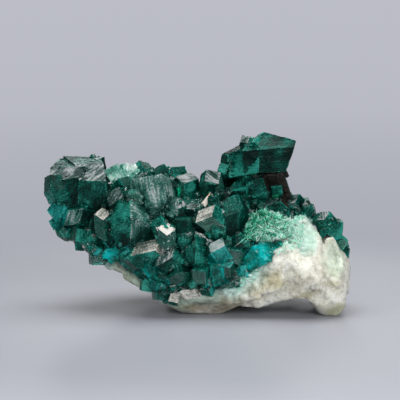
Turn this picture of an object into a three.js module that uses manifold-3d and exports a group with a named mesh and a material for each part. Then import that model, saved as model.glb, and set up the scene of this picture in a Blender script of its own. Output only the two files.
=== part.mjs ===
// Dioptase on matrix: a hand specimen of emerald-green dioptase crystals grown over a lump of white calcite,
// with turquoise chrysocolla in the seams and one tuft of fine green needles on the front.
// Millimetres, +Z up, +X to the right and -Y towards the viewer of the specimen's best side.
import * as THREE from "three";
import { ConvexGeometry } from "three/addons/geometries/ConvexGeometry.js";
import { mergeVertices } from "three/addons/utils/BufferGeometryUtils.js";
import Module from "manifold-3d";

const wasm = await Module();
wasm.setup();

// Driving dimensions
const CONTACT_GAP = 0.3; // clearance kept between neighbouring minerals
const RHOMB_SLOPE = THREE.MathUtils.degToRad(51); // tilt of dioptase's rhombohedral faces from the base plane
const STUBBY = 2.8; // usual tip-to-tip length of a crystal, in prism radii
const FACE_VARIATION = 0.14; // how unevenly a crystal's faces have grown, as a share of its radius
const DRUSE_VARIATION = 0.3; // spread of the small crystals' radius, as a share of it
const DRUSE_TILT = 0.5; // how far a small crystal's tip strays from the way its patch looks
const DRUSE_LENGTH = 3.4; // tip-to-tip length of a small crystal, in prism radii
const WELD_TOLERANCE = 1e-4; // corners closer together than this are one corner

const DIOPTASE = { color: 0x075c45, roughness: 0.18, metalness: 0 };
const CALCITE = { color: 0xe4e2d6, roughness: 0.55, metalness: 0 };
const CHRYSOCOLLA = { color: 0x119c98, roughness: 0.5, metalness: 0 };
const NEEDLES = { color: 0x5fc795, roughness: 0.7, metalness: 0 };

// The calcite matrix: broken blocks that have grown together, each given by its corners
const CALCITE_BLOCKS = {
  boulder: [
    [10, -9.6, 7.6], [11.2, -9.5, 1.7], [13.3, -9.5, 1.5], [17.1, -11, 3.4], [19.2, -12, 4.3],
    [21.5, -12.5, 4], [16.8, -9.4, 11.6], [17.8, -7.4, 15.2], [19.8, -5.6, 18.4], [21, -4.8, 18.9],
    [22.8, -7, 16.8], [24.2, -9, 15.2], [20.5, -13.6, 9.5], [24, -13.5, 7.5], [14.5, -11.6, 6], [22, 5, 18],
    [14, 5, 18.5], [12, -1, 13], [8, 8, 3], [20, 10, 3], [25, 5, 8],
  ],
  heel: [
    [30, -3, 10.9], [30.2, -5, 6.6], [28.9, -8.5, 1.6], [27.6, -9, 0], [25.2, -8.7, 0], [24, -6.5, 0],
    [26, -4.5, 0], [28, -5.5, 0], [23.4, -9.7, 1.9], [21.3, -11.5, 3.8], [22, -13, 8], [27, -12.5, 7.5],
    [29, -9, 9], [24, -11, 12], [28.5, -3, 12.5], [24, 4, 12], [28.5, 4, 8], [27, 6, 3], [21, 5, 3],
  ],
  tooth: [
    [26, -7, 15.9], [24.6, -7.5, 13], [26.8, -7, 13.3], [28.8, -5.5, 11.5], [30, -4, 10.2], [25, 0, 14.5],
    [29, 1, 11], [26, -8.5, 10], [24, -6, 11],
  ],
  bridge: [
    [3, -9, 1.8], [5, -10.6, 4.6], [12, -9.2, 2], [14, -10.4, 4], [13, -10.6, 7], [7, -11, 7.2],
    [3, -4, 1.6], [13, -3, 2], [4, -4, 10], [14, -4, 10],
  ],
  collar: [
    [4, -10.6, 4.4], [8.6, -11, 6.3], [9.6, -11.2, 7.7], [13, -11.8, 9.7], [16.6, -12.3, 11.8],
    [17.4, -10.8, 15.2], [12, -12.2, 4.4], [16, -12.9, 6.2], [20, -13.4, 9.4], [6, -10.6, 2.6], [12, -5, 6],
    [17, -5, 13], [6, -5, 4],
  ],
  sole: [
    [2.4, -7.5, 0.1], [-4, -8, 1], [-8.2, -8, 3.7], [8.7, -9, 2.3], [3, -10.5, 3.2], [8.4, -10.6, 4.4],
    [-6, -9.6, 4.6], [0, -10.8, 3.6], [-3, -6, 0], [4.5, -7, 0], [6, -1, 0], [-4, 1, 0], [-9, 2, 5],
    [8, 4, 5], [-8, -3, 9], [8, -3, 10],
  ],
  rear_foot: [
    [-3, 10, 0], [8, 11, 0], [7, 14, 0], [-2, 13.5, 0], [-7, 9, 5], [11, 10, 5], [10, 15.5, 6], [-5, 15, 7],
    [-4, 4, 6], [8, 4, 6], [9, 13, 13], [-4, 13, 13],
  ],
  shelf: [
    [-17.4, -6, 9], [-13, -7.8, 7.4], [-10.2, -8.2, 6.6], [-9, -8, 4.5], [-20, -3, 11.5], [-21, 4, 13],
    [-16, 8, 9], [-9, 10, 5], [-7, -8, 8], [-18, 8, 17], [-8, 10, 18], [-20, 0, 16], [-6, -5, 14],
    [-16, -4, 13],
  ],
  core: [
    [-22, 3, 14], [-20, 10, 16], [-20, 6, 21], [-8, 13, 8], [-6, 14, 18], [-8, 6, 21], [2, 14, 19],
    [8, 12, 21], [12, 13, 8], [18, 11, 19], [24, 8, 10], [22, 2, 18.2], [12, 1, 20], [0, -3, 16],
    [-12, -3, 15], [10, 6, 22],
  ],
};

// Massive dioptase under and between the crystals, each lump given by its corners
const DIOPTASE_LUMPS = {
  left_mass: [
    [-27, -2, 22], [-26, -3, 17], [-24, 3, 24], [-17, -7, 16], [-22, -6, 20], [-12, -7, 20], [-12, -7, 13],
    [-20, -6, 14], [-16, 0, 25.6], [-10, 4, 26], [-24, 4, 16], [-7, -5, 23], [-3, 0, 24], [-3, 3, 24.6],
  ],
  front_slope: [
    [-13, -8.4, 10.4], [-8, -9, 5.6], [-3, -9.6, 4.6], [2, -9.8, 4.8], [7, -10.2, 8], [11, -9.4, 11.4],
    [-11, -7.6, 18], [-2, -8, 18.6], [6, -7.2, 19.6], [14, -8, 13.4], [-4, -2, 22.4], [4, -1, 22],
    [0, 2, 23], [12, -9.4, 8.6], [15.6, -8.6, 11.4],
  ],
  right_ridge: [
    [3, -3, 21], [8, -6, 19.6], [16, -5.4, 17.6], [20, -3, 19.5], [23, -1, 18.6], [18, 2, 23], [9, 0, 27],
    [14, 2, 27], [4, 4, 23], [16, 7, 22], [22, 5, 18.5],
  ],
};

// Crystals of the main crust: [x, y, z] of the middle, the way the tip points and the prism radius.
// A crystal that isn't of the usual length says its tip-to-tip length. Its turn about its own axis is random,
// unless "flat" says which way one of its prism faces looks, or "lean" which way one of its end faces does.
const MAIN_CRYSTALS = [
  // around the two blocky crystals at the left end, and the shoulder below them
  { at: [-16.8, 0.2, 25.6], tip: [0.3, -0.3, 0.9], radius: 3, length: 8.4 },
  { at: [-27.2, -5.4, 24.6], tip: [-0.3, -0.5, 0.85], radius: 3, length: 8.6, lean: [0.5, -0.8, 0.2] },
  { at: [-26.3, -2.8, 20.2], tip: [-0.5, -0.7, -0.4], radius: 3.5, length: 8.4, flat: [-0.3, -0.7, 0.5] },
  { at: [-23.6, -4.6, 19.4], tip: [0.9, -0.2, 0.2], radius: 3.2, length: 9, flat: [0.1, -1, 0.1] },
  { at: [-26.2, -3, 16.9], tip: [-0.5, -0.6, -0.5], radius: 2.5, length: 6.4 },
  { at: [-23.2, -4, 16], tip: [-0.2, -0.8, -0.4], radius: 2.6 },
  { at: [-22.9, -3.6, 13.6], tip: [-0.6, -0.4, -0.7], radius: 1.6, length: 4 },
  { at: [-20.2, -5, 14.2], tip: [-0.4, -0.7, -0.5], radius: 2.5 },
  { at: [-18.3, -7, 17.4], tip: [-0.1, 0.1, 1], radius: 2.2, length: 8.6, lean: [0.1, -1, 0.1] },
  { at: [-19.4, -5.4, 11.6], tip: [-0.3, -0.7, -0.5], radius: 2.2 },
  { at: [-17, -7.4, 15.4], tip: [0.3, -0.9, 0.1], radius: 2.3 },
  { at: [-16.4, -6.8, 18.6], tip: [0.4, -0.8, 0.4], radius: 2.2 },
  { at: [-13.4, -8.6, 12.3], tip: [0.5, -0.7, -0.4], radius: 2.4, length: 7 },
  { at: [-16.4, -4.4, 22], tip: [0.5, -0.7, 0.3], radius: 2.8 },
  // the two big crystals left of the middle
  { at: [-12.9, -7.2, 17.2], tip: [0.05, -0.24, 0.97], radius: 4.7, length: 14.4, lean: [-0.8, -0.55, 0] },
  { at: [-9, -3.4, 22], tip: [0.28, -0.42, 0.86], radius: 5.7, length: 14, lean: [-0.45, -0.85, 0.1] },
  { at: [-14.4, -2, 23.8], tip: [-0.2, -0.6, 0.8], radius: 2.8 },
  { at: [-12.6, -7.4, 23.4], tip: [1, 0.1, 0.1], radius: 1.7, length: 4.8, flat: [0, -0.66, 0.75] },
  { at: [-10.4, -3.4, 27], tip: [0.9, 0, 0.3], radius: 0.9, length: 3.4, flat: [0, -0.66, 0.75] },
  { at: [-7.6, -7.4, 17.4], tip: [0.5, -0.8, 0.1], radius: 2.8 },
  // the left crest
  { at: [-16.6, 1.6, 26.2], tip: [-0.4, -0.5, 0.8], radius: 1.8 },
  { at: [-14.2, 2, 26.9], tip: [0.2, -0.4, 0.9], radius: 1.9 },
  { at: [-12.8, 0.6, 26], tip: [0.3, -0.7, 0.6], radius: 1.7 },
  { at: [-11, 3.2, 26.2], tip: [-0.25, -0.15, 0.95], radius: 2.9, length: 7.4, lean: [-0.6, -0.7, 0.2] },
  { at: [-7.4, 2.6, 25.9], tip: [0.3, -0.2, 0.95], radius: 2.8, length: 6.8, flat: [0, -0.9, 0.3] },
  { at: [-4.6, 3.6, 25.2], tip: [0.6, 0, 0.8], radius: 2.8 },
  { at: [-2.7, 0.6, 24.2], tip: [0.75, -0.35, 0.5], radius: 3.1, length: 8, flat: [0.2, -1, -0.1] },
  { at: [-6.2, -0.4, 24.6], tip: [0.1, -0.6, 0.8], radius: 2.4 },
  // the middle of the front
  { at: [-5.6, -5.4, 20.2], tip: [0.5, -0.6, 0.6], radius: 3 },
  { at: [-3.8, -7, 20.2], tip: [0.2, 0.1, 1], radius: 1.7, length: 6.6, lean: [0, -1, 0.1] },
  { at: [-6, -9.5, 15.4], tip: [0.05, 0.1, 1], radius: 2.3, length: 7.4, lean: [0.1, -1, 0.1] },
  { at: [-2.6, -8.2, 17.6], tip: [0.2, -0.8, 0.5], radius: 2.5 },
  { at: [-1, -6.4, 20.6], tip: [-0.95, 0.1, 0.1], radius: 1.7, length: 5, flat: [0, -0.66, 0.75] },
  { at: [2.2, -7.8, 19], tip: [0.93, 0.1, 0.35], radius: 2.7, length: 8.6, flat: [-0.2, -0.68, 0.72] },
  { at: [3.6, -4.6, 21.6], tip: [0.2, -0.6, 0.7], radius: 2.2 },
  { at: [-9.6, -9.4, 12.3], tip: [0.95, 0.05, 0.18], radius: 3.2, length: 12, flat: [-0.1, -0.7, 0.71] },
  { at: [-5.6, -10.2, 11.2], tip: [0.85, 0.1, 0.45], radius: 2.6, length: 9, flat: [-0.1, -0.68, 0.72] },
  { at: [-2.2, -9.6, 14.6], tip: [0.4, -0.7, 0.5], radius: 2.3 },
  { at: [-0.6, -9.6, 12.8], tip: [0.06, -0.25, 0.96], radius: 2.8, length: 9, lean: [-0.8, -0.6, 0.1] },
  { at: [4.1, -9.8, 12.7], tip: [0.35, -0.75, 0.5], radius: 2.8, lean: [-0.2, -0.6, 0.8] },
  { at: [-3.8, -9.8, 8.5], tip: [-0.2, -0.4, 0.88], radius: 3, length: 8.4, lean: [-0.7, -0.7, 0.1] },
  { at: [-7.4, -8.9, 8.4], tip: [0.6, -0.4, -0.6], radius: 2.9, length: 9.6, flat: [-0.3, -0.9, 0.2] },
  { at: [-10.8, -8.4, 9.8], tip: [0.6, -0.6, -0.5], radius: 2.4, length: 7.4, flat: [-0.2, -0.9, -0.2] },
  { at: [0.6, -10, 8.4], tip: [0.3, -0.8, 0.4], radius: 2.6 },
  { at: [-1.4, -9.6, 5.2], tip: [0.95, 0.1, 0.1], radius: 2.2, length: 7, flat: [0, -0.68, 0.73] },
  { at: [-5, -8.8, 5.4], tip: [-0.6, -0.7, -0.1], radius: 2.1, length: 6 },
  { at: [5.6, -10.4, 9.8], tip: [0.3, -0.9, 0.2], radius: 2.3 },
  { at: [7.4, -9.6, 12], tip: [-0.5, -0.6, 0.6], radius: 2.4 },
  { at: [6.2, -10.4, 7.4], tip: [0.7, -0.6, 0.3], radius: 1.9, length: 6 },
  { at: [2, -9.8, 5.8], tip: [0.2, -0.9, 0], radius: 1.9 },
  { at: [-9.2, -9, 6.8], tip: [-0.5, -0.7, -0.4], radius: 1.9, length: 6 },
  { at: [-7.3, -9.4, 4.9], tip: [-0.3, -0.8, -0.4], radius: 1.8 },
  { at: [-4.6, -10, 3.9], tip: [0.4, -0.8, -0.3], radius: 1.6 },
  { at: [9.4, -10, 9.4], tip: [0.85, -0.4, 0.3], radius: 1.9, length: 6.4 },
  // right of the middle
  { at: [7.2, -6.2, 18.2], tip: [0.08, -0.16, 0.98], radius: 3.1, length: 12.4, lean: [-0.6, -0.8, 0.1] },
  { at: [3.9, -7.2, 16.6], tip: [-0.15, -0.4, 0.9], radius: 2.6, length: 8.4, lean: [0.5, -0.8, 0.3] },
  { at: [8.6, -8, 14.6], tip: [0.5, -0.6, 0.6], radius: 2.3 },
  { at: [4.6, -2.8, 22.6], tip: [-0.3, -0.6, 0.7], radius: 2.7 },
  { at: [8.4, -3.2, 22.6], tip: [0.3, -0.7, 0.5], radius: 2.6 },
  // the right crest and the tall pair on it
  { at: [2.9, -1, 24.8], tip: [-0.25, -0.25, 0.92], radius: 2.7, length: 7.8, flat: [0.1, -1, 0] },
  { at: [9.8, 0.6, 33], tip: [-0.4, -0.2, 0.9], radius: 1.5, length: 4.4 },
  { at: [5.4, 0.4, 27.4], tip: [-0.4, -0.4, 0.8], radius: 1.7 },
  { at: [12.4, -2.4, 23.6], tip: [0.1, -0.5, 0.86], radius: 3.1, lean: [-0.3, -0.8, 0.3] },
  { at: [15.2, -2.8, 21.4], tip: [0.9, 0.25, 0.25], radius: 2.4, length: 8, flat: [0, -0.66, 0.75] },
  { at: [18.9, -1, 20.9], tip: [0.9, 0.2, 0.1], radius: 2.4, flat: [0, -0.68, 0.73] },
  { at: [21.2, -0.6, 19.6], tip: [0.6, -0.4, 0.6], radius: 2.1 },
  { at: [17.2, -3.6, 18.8], tip: [0.4, -0.7, 0.5], radius: 1.9 },
  { at: [22.4, 2.4, 18.2], tip: [0.4, -0.3, 0.86], radius: 2.2 },
  // the back of the crests
  { at: [-21, 4, 23.4], tip: [-0.5, 0.5, 0.7], radius: 4 },
  { at: [-14, 7, 24], tip: [-0.1, 0.6, 0.8], radius: 3.6 },
  { at: [-6, 8.4, 23], tip: [0, 0.7, 0.7], radius: 3.4 },
  { at: [-24.4, 2.4, 19.6], tip: [-0.9, 0.4, 0.1], radius: 3.6 },
  { at: [8, 6.6, 24.4], tip: [0, 0.6, 0.8], radius: 3.8 },
  { at: [15, 6.4, 23], tip: [0.3, 0.6, 0.7], radius: 3.4 },
  { at: [2, 7.4, 21.4], tip: [0, 0.7, 0.7], radius: 3.2 },
  { at: [20.8, 4.6, 18.8], tip: [0.5, 0.5, 0.7], radius: 2.9 },
  { at: [0.4, 3, 21.6], tip: [0.2, -0.2, 0.9], radius: 2.2, length: 5 },
];

// Big crystals that have grown unevenly, each given by its faces: the way a face looks and a point on it
const FACED_CRYSTALS = {
  left_block: [
    { looks: [0.02, -0.97, -0.22], through: [-25, -6.4, 23.5] },
    { looks: [-0.14, -0.68, 0.72], through: [-25.2, -6, 28.1] },
    { looks: [-0.05, -0.08, 1], through: [-26, 0, 29.4] },
    { looks: [-0.98, 0.12, -0.06], through: [-28.4, -2, 27] },
    { looks: [0.9, -0.3, 0.1], through: [-21, -4, 26] },
    { looks: [-0.2, -0.22, -0.95], through: [-24, -5, 20.6] },
    { looks: [0, 1, 0.15], through: [-24, 5, 25] },
  ],
  left_block_neighbour: [
    { looks: [0.1, -0.97, -0.25], through: [-20.6, -6.7, 23.5] },
    { looks: [0.1, -0.64, 0.76], through: [-20.4, -5.9, 28] },
    { looks: [0.02, -0.05, 1], through: [-20, 0, 29.7] },
    { looks: [-0.95, -0.3, 0], through: [-24.2, -4, 26] },
    { looks: [0.98, 0.14, 0.06], through: [-18.5, -2, 27] },
    { looks: [0.1, -0.25, -0.95], through: [-20, -5, 20] },
    { looks: [0, 1, 0.1], through: [-20, 5.4, 25] },
  ],
  tall_left: [
    { looks: [-0.38, -0.92, 0.03], through: [11.2, -4.2, 28.6] },
    { looks: [-0.7, -0.61, 0.38], through: [12, -4.4, 32.6] },
    { looks: [-0.45, -0.05, 0.89], through: [8.4, 2.5, 32.1] },
    { looks: [-0.95, -0.3, 0.12], through: [5.8, 1, 27] },
    { looks: [0.1, -0.3, -0.95], through: [10.6, -3.9, 27.5] },
    { looks: [0.95, 0.3, 0], through: [12.2, -4.5, 30] },
    { looks: [0, 1, 0], through: [8, 4.6, 30] },
  ],
  tall_right: [
    { looks: [0.03, -0.95, -0.28], through: [15.5, -4, 29.6] },
    { looks: [-0.08, -0.34, 0.94], through: [11.8, -4.4, 32.6] },
    { looks: [0.35, 0.22, 0.91], through: [16.5, -0.35, 34.7] },
    { looks: [-0.55, 0.1, 0.83], through: [13.6, 2, 35.4] },
    { looks: [0.95, -0.05, -0.32], through: [18.9, -3.5, 32.1] },
    { looks: [-0.9, 0.3, 0], through: [10.5, 0, 30] },
    { looks: [0.05, -0.45, -0.89], through: [15, -3.3, 27.7] },
    { looks: [0.1, 1, 0.1], through: [15, 5, 30] },
  ],
  below_the_tall_pair: [
    { looks: [-0.1, -0.97, -0.1], through: [15, -2.6, 25] },
    { looks: [0.94, 0, 0.33], through: [17.2, -2, 27.5] },
    { looks: [-0.95, -0.3, 0], through: [8.4, 0, 25] },
    { looks: [0, -0.3, -1], through: [14, -2, 20.4] },
    { looks: [0.1, 0, 1], through: [14, 0, 29] },
    { looks: [0, 1, 0], through: [14, 4.4, 25] },
  ],
};

// Patches of small crystals between the big ones: where, how far they spread and which way they look
const DRUSE_PATCHES = [
  { at: [-13.6, 1.4, 26.6], spread: [3.4, 1.6, 1], facing: [0, -0.5, 0.9], radius: 0.9, count: 5 },
  { at: [-24.6, -4, 17.6], spread: [3, 1, 2.4], facing: [-0.4, -0.8, -0.2], radius: 1.2, count: 5 },
  { at: [-20, -6.4, 14.4], spread: [2.6, 1, 2.6], facing: [-0.2, -0.9, 0], radius: 1.1, count: 3 },
  { at: [-1, -6.2, 19.6], spread: [4, 1.4, 2], facing: [0, -0.7, 0.7], radius: 1.1, count: 3 },
  { at: [-2, -10.4, 6.4], spread: [7, 0.8, 1.6], facing: [0, -0.9, 0.1], radius: 1.1, count: 5 },
  { at: [12, -3.4, 22], spread: [4, 1, 2.4], facing: [0.1, -0.8, 0.5], radius: 1.1, count: 6 },
  { at: [19.4, -1.8, 19.8], spread: [2.4, 1, 1], facing: [0.3, -0.6, 0.7], radius: 1, count: 5 },
  { at: [11.8, -9.2, 12], spread: [2.4, 0.8, 2], facing: [0.1, -0.9, 0.3], radius: 1.2, count: 5 },
];

// The crystals on the right-hand rim, rooted in the matrix by themselves
const RIM_CRYSTALS = [
  { at: [25.3, -3.4, 18.2], tip: [0.96, -0.1, 0.1], radius: 2, length: 5.4, flat: [-0.1, -0.71, 0.71] },
  { at: [26.6, -2.6, 16.2], tip: [0.75, -0.5, 0.45], radius: 2.8, length: 7.4, flat: [0, -0.9, 0.3] },
  { at: [27.9, -1, 13.7], tip: [0.8, -0.4, 0.1], radius: 2.3, length: 5.8 },
  { at: [28.7, -1.2, 11.6], tip: [0.7, -0.4, -0.5], radius: 1.7 },
  { at: [28.6, -3.2, 13.4], tip: [0.5, -0.8, 0.2], radius: 1.2 },
];

// A small group on the back of the matrix
const BACK_CRYSTALS = [
  { at: [-3, 14.5, 11], tip: [0, 0.9, 0.3], radius: 2.4 },
  { at: [0.4, 14.8, 12.5], tip: [0.4, 0.8, 0.3], radius: 2 },
  { at: [-1.2, 15, 8.6], tip: [0.1, 0.9, -0.3], radius: 1.8 },
];

const NEEDLE_TUFT = [
  [9.2, -8.4, 17.8], [10.4, -8.8, 20.4], [12.8, -7.6, 21.6], [16.2, -7.2, 20.8], [19.2, -7.6, 19.2],
  [18.6, -9.6, 16], [14.6, -10.8, 15.2], [11, -10.6, 15.2], [9, -9.8, 15.8], [13, -11.4, 17.4],
  [15.8, -10.4, 17.6], [11, -4, 18], [17, -4, 18], [14, -5, 14],
];

const CALCITE_FLAKE = [
  [0.8, -5.6, 21.9], [1.2, -6.2, 22], [2.7, -5.6, 24.2], [2.6, -5.2, 24], [2.2, -5.6, 21.9],
  [1.6, -6, 21.2],
];

const CHRYSOCOLLA_SEAMS = {
  chrysocolla_seam_left: [
    [-18.4, -8.6, 11.9], [-17.6, -8.9, 13.2], [-15.6, -9.4, 13.9], [-14.3, -9.6, 13.5], [-15, -9.3, 11.4],
    [-16.6, -8.6, 10.6], [-17.8, -5, 12.6], [-15, -5, 12],
  ],
  chrysocolla_seam_lower: [
    [-11.8, -10.6, 11.6], [-10.4, -11.4, 11.8], [-8.2, -11.8, 9.4], [-7.4, -11.4, 7.4], [-8.8, -11, 7.6],
    [-11, -10.6, 9.8], [-10, -6, 10], [-9, -6, 9],
  ],
  chrysocolla_seam_middle: [
    [3, -12.4, 11], [5, -12.6, 10.6], [5.2, -12.2, 7.6], [3.4, -11.8, 6.6], [2.8, -12, 8.6], [3.2, -8, 9.6],
    [4.8, -8, 7.6],
  ],
  chrysocolla_seam_right: [
    [9.2, -10.6, 11.5], [10.8, -10.8, 14], [13, -10.4, 15.2], [16.6, -10, 14.9], [17, -10.4, 13.4],
    [13.4, -12.3, 11.2], [10.2, -11.8, 9.3], [12, -7, 13], [16, -7, 12.6], [11, -7, 10],
  ],
};

// A seeded random number from 0 to 1, so that every build is the same
function seededRandom(seed) {
  let state = seed;
  return () => {
    state = (state + 0x6d2b79f5) | 0;
    let t = Math.imul(state ^ (state >>> 15), 1 | state);
    t = (t + Math.imul(t ^ (t >>> 7), 61 | t)) ^ t;
    return ((t ^ (t >>> 14)) >>> 0) / 4294967296;
  };
}

// A closed three.js geometry as a manifold solid
function solidOf(geometry) {
  const bare = geometry.clone();
  bare.deleteAttribute("normal");
  bare.deleteAttribute("uv");
  const welded = mergeVertices(bare, WELD_TOLERANCE);
  return new wasm.Manifold(
    new wasm.Mesh({
      numProp: 3,
      vertProperties: new Float32Array(welded.attributes.position.array),
      triVerts: new Uint32Array(welded.index.array),
    }),
  );
}

// A manifold solid as a three.js geometry
function geometryOf(solid) {
  const mesh = solid.getMesh();
  const geometry = new THREE.BufferGeometry();
  geometry.setAttribute("position", new THREE.BufferAttribute(new Float32Array(mesh.vertProperties), 3));
  geometry.setIndex(new THREE.BufferAttribute(new Uint32Array(mesh.triVerts), 1));
  geometry.computeVertexNormals();
  return geometry;
}

const joined = (solids) => solids.reduce((whole, solid) => whole.add(solid));

// The convex block with these corners, grown outward from its middle by some distance
function block(corners, grow = 0) {
  const points = corners.map((corner) => new THREE.Vector3(...corner));
  const middle = points.reduce((sum, p) => sum.add(p), new THREE.Vector3()).divideScalar(points.length);
  const grown = points.map((p) => p.clone().add(p.clone().sub(middle).setLength(grow)));
  return solidOf(new ConvexGeometry(grown));
}

// The corners of the convex shape inside all the planes, each a normal and its distance from the origin
function cornersInside(planes) {
  const corners = [];
  const cross = new THREE.Vector3();
  for (let i = 0; i < planes.length; i++)
    for (let j = i + 1; j < planes.length; j++)
      for (let k = j + 1; k < planes.length; k++) {
        const [a, b, c] = [planes[i], planes[j], planes[k]];
        const det = a.normal.dot(cross.crossVectors(b.normal, c.normal));
        if (Math.abs(det) < 1e-6) continue;
        const corner = new THREE.Vector3()
          .addScaledVector(new THREE.Vector3().crossVectors(b.normal, c.normal), a.reach)
          .addScaledVector(new THREE.Vector3().crossVectors(c.normal, a.normal), b.reach)
          .addScaledVector(new THREE.Vector3().crossVectors(a.normal, b.normal), c.reach)
          .divideScalar(det);
        if (planes.every((plane) => plane.normal.dot(corner) < plane.reach + 1e-6)) corners.push(corner);
      }
  return corners;
}

// The turn that stands a crystal's own +Z along its axis, with a prism face or an end face looking as asked
function standing(axis, flat, lean, free) {
  const asked = flat ?? lean;
  const sideways = asked
    ? new THREE.Vector3(...asked)
    : new THREE.Vector3(Math.cos(free), Math.sin(free), Math.cos(free * 3));
  const x = sideways.addScaledVector(axis, -sideways.dot(axis)).normalize();
  if (flat) x.applyAxisAngle(axis, Math.PI / 6);
  const y = new THREE.Vector3().crossVectors(axis, x);
  return new THREE.Quaternion().setFromRotationMatrix(new THREE.Matrix4().makeBasis(x, y, axis));
}

// One dioptase crystal: a six-sided prism closed at each end by three rhombohedral faces, which stand over
// every second prism edge and are turned by 60 degrees at the other end
function crystal({ at, tip, radius, length = STUBBY * radius, flat, lean }, random) {
  const uneven = () => 1 - FACE_VARIATION * random();
  const planes = [];
  for (let side = 0; side < 6; side++) {
    const angle = (Math.PI / 3) * (side + 0.5);
    planes.push({
      normal: new THREE.Vector3(Math.cos(angle), Math.sin(angle), 0),
      reach: radius * Math.cos(Math.PI / 6) * uneven(),
    });
  }
  for (const end of [1, -1])
    for (let third = 0; third < 3; third++) {
      const angle = (Math.PI * 2 * third) / 3 + (end < 0 ? Math.PI / 3 : 0);
      planes.push({
        normal: new THREE.Vector3(
          Math.sin(RHOMB_SLOPE) * Math.cos(angle),
          Math.sin(RHOMB_SLOPE) * Math.sin(angle),
          Math.cos(RHOMB_SLOPE) * end,
        ),
        reach: (length / 2) * Math.cos(RHOMB_SLOPE) * uneven(),
      });
    }
  const geometry = new ConvexGeometry(cornersInside(planes));
  const turn = standing(new THREE.Vector3(...tip).normalize(), flat, lean, random() * Math.PI * 2);
  geometry.applyQuaternion(turn).translate(...at);
  return solidOf(geometry);
}

// One unevenly grown crystal from its faces
function faced(faces) {
  const planes = faces.map(({ looks, through }) => {
    const normal = new THREE.Vector3(...looks).normalize();
    return { normal, reach: normal.dot(new THREE.Vector3(...through)) };
  });
  return solidOf(new ConvexGeometry(cornersInside(planes)));
}

function crystals(list, seed) {
  const random = seededRandom(seed);
  return joined(list.map((one) => crystal(one, random)));
}

// Small crystals scattered over a patch, each a little off the way the patch looks
function druse({ at, spread, facing, radius, count }, random) {
  const about = (value, reach) => value + (2 * random() - 1) * reach;
  return Array.from({ length: count }, () => {
    const size = about(radius, DRUSE_VARIATION * radius);
    return crystal(
      {
        at: at.map((value, i) => about(value, spread[i])),
        tip: facing.map((value) => about(value, DRUSE_TILT)),
        radius: size,
        length: DRUSE_LENGTH * size,
      },
      random,
    );
  });
}

// The largest connected body of a solid, without the crumbs that a cut leaves
function largestBody(solid) {
  return solid.decompose().reduce((best, body) => (body.volume() > best.volume() ? body : best));
}

function mineral(name, solid, look) {
  const mesh = new THREE.Mesh(geometryOf(solid), new THREE.MeshStandardMaterial(look));
  mesh.name = name;
  return mesh;
}

const GROWTH = CONTACT_GAP * 1.7; // moving corners out by this much moves the faces out by at least the gap
const blocks = (named, grow) => joined(Object.values(named).map((corners) => block(corners, grow)));
const matrix = blocks(CALCITE_BLOCKS);
const matrixWithGap = blocks(CALCITE_BLOCKS, GROWTH);
const tuft = largestBody(block(NEEDLE_TUFT).subtract(matrixWithGap));
const flake = block(CALCITE_FLAKE);
const tuftWithGap = block(NEEDLE_TUFT, GROWTH);
const seams = Object.entries(CHRYSOCOLLA_SEAMS).map(([name, corners]) => [
  name,
  largestBody(block(corners).subtract(matrixWithGap).subtract(tuftWithGap)),
]);
const softNeighbours = blocks(CHRYSOCOLLA_SEAMS, GROWTH).add(tuftWithGap).add(block(CALCITE_FLAKE, GROWTH));

const randomDruse = seededRandom(5);
const smallCrystals = joined(DRUSE_PATCHES.flatMap((patch) => druse(patch, randomDruse)));
const mainCrust = largestBody(
  crystals(MAIN_CRYSTALS, 11)
    .add(joined(Object.values(FACED_CRYSTALS).map(faced)))
    .add(blocks(DIOPTASE_LUMPS))
    .add(smallCrystals)
    .subtract(matrixWithGap)
    .subtract(softNeighbours),
);
const rim = largestBody(crystals(RIM_CRYSTALS, 23).subtract(matrixWithGap));
const back = largestBody(crystals(BACK_CRYSTALS, 37).subtract(matrixWithGap));

const specimen = new THREE.Group();
specimen.add(
  mineral("calcite_matrix", matrix, CALCITE),
  mineral("calcite_flake", flake, CALCITE),
  mineral("dioptase_main_crust", mainCrust, DIOPTASE),
  mineral("dioptase_rim_cluster", rim, DIOPTASE),
  mineral("dioptase_back_cluster", back, DIOPTASE),
  mineral("needle_tuft", tuft, NEEDLES),
  ...seams.map(([name, solid]) => mineral(name, solid, CHRYSOCOLLA)),
);

// The origin is under the middle of the specimen, on the plane that it stands on
const middle = new THREE.Box3().setFromObject(specimen).getCenter(new THREE.Vector3());
for (const mesh of specimen.children) mesh.geometry.translate(-middle.x, -middle.y, 0);

export default specimen;
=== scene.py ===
import math
import random

import bmesh
import bpy
import numpy as np
from mathutils import Matrix, Vector, noise
from mathutils.bvhtree import BVHTree
from mathutils.geometry import delaunay_2d_cdt


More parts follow.
